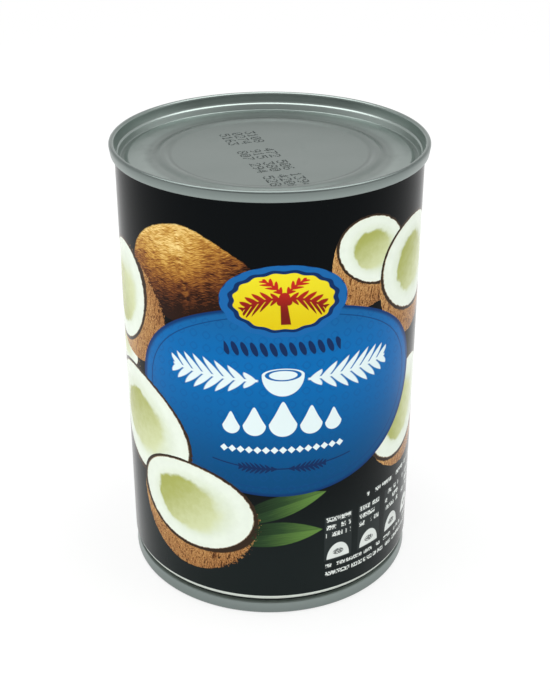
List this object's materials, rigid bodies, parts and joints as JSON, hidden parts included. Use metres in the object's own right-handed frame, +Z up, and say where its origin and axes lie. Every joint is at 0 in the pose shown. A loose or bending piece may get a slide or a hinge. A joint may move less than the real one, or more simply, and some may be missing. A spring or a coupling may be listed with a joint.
{
  "type": "food can",
  "caption": "Shut three-piece food can: straight lacquered tinplate body necked in at the foot, with a seamed end at top and bottom.",
  "frame": {"origin": "centre of the circle that the can stands on, on the underside of the bottom seam", "axes": "+Z up along the axis of the can, from the necked-in foot to the open recess of the top end; the welded side seam is at +Y, at the back, and the middle of the label faces -Y"},
  "size_m": [0.0758, 0.0758, 0.1127],
  "materials": {
    "lacquered_tinplate": "glossy black print under clear lacquer",
    "bare_tinplate": "satin grey tinplate"
  },
  "bodies": {
    "root": {"can_body": "lacquered_tinplate", "top_end": "bare_tinplate", "bottom_end": "bare_tinplate"}
  },
  "joints": []
}
